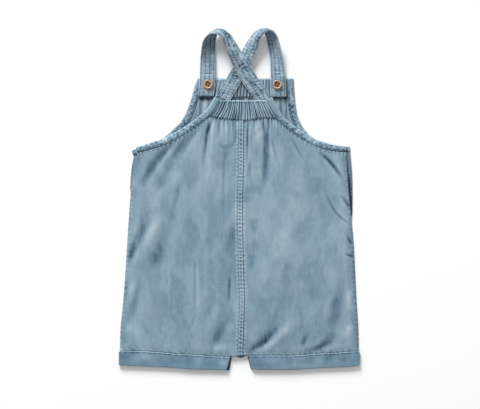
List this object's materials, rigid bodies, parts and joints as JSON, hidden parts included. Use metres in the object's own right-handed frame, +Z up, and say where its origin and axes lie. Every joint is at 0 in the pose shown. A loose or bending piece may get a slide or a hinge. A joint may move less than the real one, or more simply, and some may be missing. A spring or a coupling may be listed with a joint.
{
  "type": "baby overalls",
  "caption": "Short washed-chambray overalls laid flat, back up: gathered elastic top, crossed straps looped over and buttoned inside the bib, bound armholes, turned-up cuffs.",
  "frame": {"origin": "on the surface it lies on, under the middle of its outline", "axes": "+X to the right of the garment as it lies with its back up, +Y from the hems to the straps, +Z up from the surface"},
  "size_m": [0.332, 0.4714, 0.0202],
  "materials": {
    "chambray": "washed light-blue chambray, plain weave, matt",
    "chambray_wrong_side": "wrong side of the same washed chambray, a little darker, matt",
    "strap_cloth": "doubled and topstitched washed chambray, paler along its edges, matt",
    "turned_wood": "light brown turned wood, satin"
  },
  "bodies": {
    "root": {"back_left": "chambray", "back_right": "chambray", "back_seam": "chambray", "back_casing": "chambray", "front_left": "chambray_wrong_side", "front_right": "chambray_wrong_side", "front_casing": "chambray_wrong_side", "binding_back_left": "chambray", "binding_back_right": "chambray", "binding_front_left": "chambray_wrong_side", "binding_front_right": "chambray_wrong_side", "strap_left": "strap_cloth", "strap_right": "strap_cloth", "button_left": "turned_wood", "button_right": "turned_wood", "cuff_left": "chambray", "cuff_right": "chambray"}
  },
  "joints": []
}
